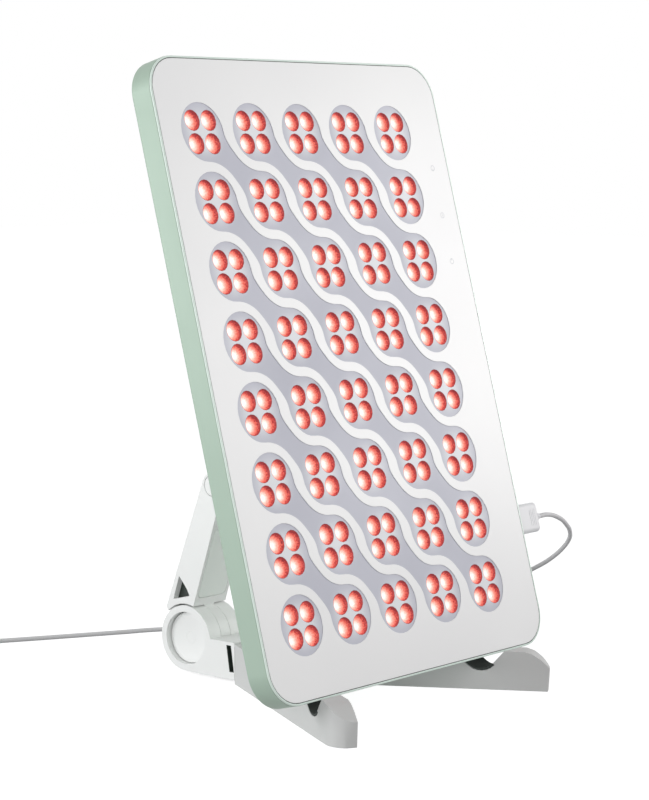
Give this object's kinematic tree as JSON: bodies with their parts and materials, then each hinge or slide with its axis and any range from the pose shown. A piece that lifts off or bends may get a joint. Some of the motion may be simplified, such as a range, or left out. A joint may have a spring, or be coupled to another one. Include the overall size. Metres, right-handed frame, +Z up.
{
  "type": "red light therapy panel",
  "caption": "Upright panel of round red lenses in diagonal channels, held by a folding arm on splayed, notched legs, with a thin power lead.",
  "frame": {"origin": "on the surface that the stand rests on, midway across the panel and midway between the toes and the back of the barrel hinge", "axes": "+X to the right side of the face as its user sees it, +Y to the back, +Z up"},
  "size_m": [0.3418, 0.3652, 0.3571],
  "materials": {
    "mint_metal": "satin pale mint, bright along the front lip",
    "mint_plastic": "satin pale mint",
    "face_white": "smooth pale grey white",
    "tray_grey": "satin grey with a lilac cast",
    "red_lens": "clear red domes with a bright centre",
    "circuit_board": "green solder mask",
    "bright_metal": "plain satin metal",
    "stand_white": "smooth white moulding",
    "inlay_grey": "satin pale grey green",
    "dark_plastic": "dark moulding in shadow",
    "rubber": "dull dark grey",
    "cord_white": "soft white overmould",
    "cord_grey": "soft pale mauve grey jacket"
  },
  "bodies": {
    "base": {"base_housing": "stand_white", "base_cover": "stand_white", "rear_pad": "rubber", "barrel_axle": "bright_metal", "left_leg": "stand_white", "right_leg": "stand_white", "leg_screw_left": "bright_metal", "leg_screw_right": "bright_metal", "notch_pad_left": "rubber", "notch_pad_right": "rubber", "foot_pad_left": "rubber", "foot_pad_right": "rubber", "button_spring_left": "bright_metal", "button_spring_right": "bright_metal"},
    "lower_arm": {"lower_arm": "stand_white", "arm_core": "dark_plastic", "arm_inlay": "inlay_grey", "elbow_pin": "bright_metal", "elbow_cap_left": "stand_white", "elbow_cap_right": "stand_white"},
    "upper_arm": {"upper_arm": "stand_white"},
    "panel": {"panel_frame": "mint_metal", "face_plate": "face_white", "led_tray": "tray_grey", "led_board": "circuit_board", "heat_spreader": "bright_metal", "control_board": "circuit_board", "touch_board": "circuit_board", "power_socket": "dark_plastic", "rear_cover": "mint_plastic", "panel_bracket": "stand_white", "panel_hinge_pin": "bright_metal", "power_plug": "cord_white", "strain_relief": "cord_white", "power_cord": "cord_grey", "cord_coil": "cord_grey", "far_plug": "cord_white", "far_plug_shell": "bright_metal", "lens_strip_01": "red_lens", "lens_strip_02": "red_lens", "lens_strip_03": "red_lens", "lens_strip_04": "red_lens", "lens_strip_05": "red_lens", "lens_strip_06": "red_lens", "lens_strip_07": "red_lens", "lens_strip_08": "red_lens", "lens_strip_09": "red_lens", "lens_strip_10": "red_lens", "lens_strip_11": "red_lens", "lens_strip_12": "red_lens", "rear_screw_1": "bright_metal", "rear_screw_2": "bright_metal", "rear_screw_3": "bright_metal", "rear_screw_4": "bright_metal", "bracket_screw_1": "bright_metal", "bracket_screw_2": "bright_metal"},
    "left_button": {"release_button_left": "stand_white"},
    "right_button": {"release_button_right": "stand_white"}
  },
  "joints": [
    {"name": "arm_tilt", "type": "hinge", "parent": "base", "child": "lower_arm", "pos_m": [0, 0.0852, 0.0219], "axis": [-1, 0, 0], "range_deg": [0, 35]},
    {"name": "elbow_fold", "type": "hinge", "parent": "lower_arm", "child": "upper_arm", "pos_m": [0, 0.06342, 0.11401], "axis": [-1, 0, 0], "range_deg": [0, 55]},
    {"name": "panel_tilt", "type": "hinge", "parent": "upper_arm", "child": "panel", "pos_m": [0, -0.00753, 0.14068], "axis": [-1, 0, 0], "range_deg": [0, 40]},
    {"name": "left_release_push", "type": "slide", "parent": "base", "child": "left_button", "axis": [1, 0, 0], "range_m": [0, 0.0016], "stiffness_N_per_m": 500, "springref_m": -0.001, "deforming": ["button_spring_left"]},
    {"name": "right_release_push", "type": "slide", "parent": "base", "child": "right_button", "axis": [-1, 0, 0], "range_m": [0, 0.0016], "stiffness_N_per_m": 500, "springref_m": -0.001, "deforming": ["button_spring_right"]}
  ]
}
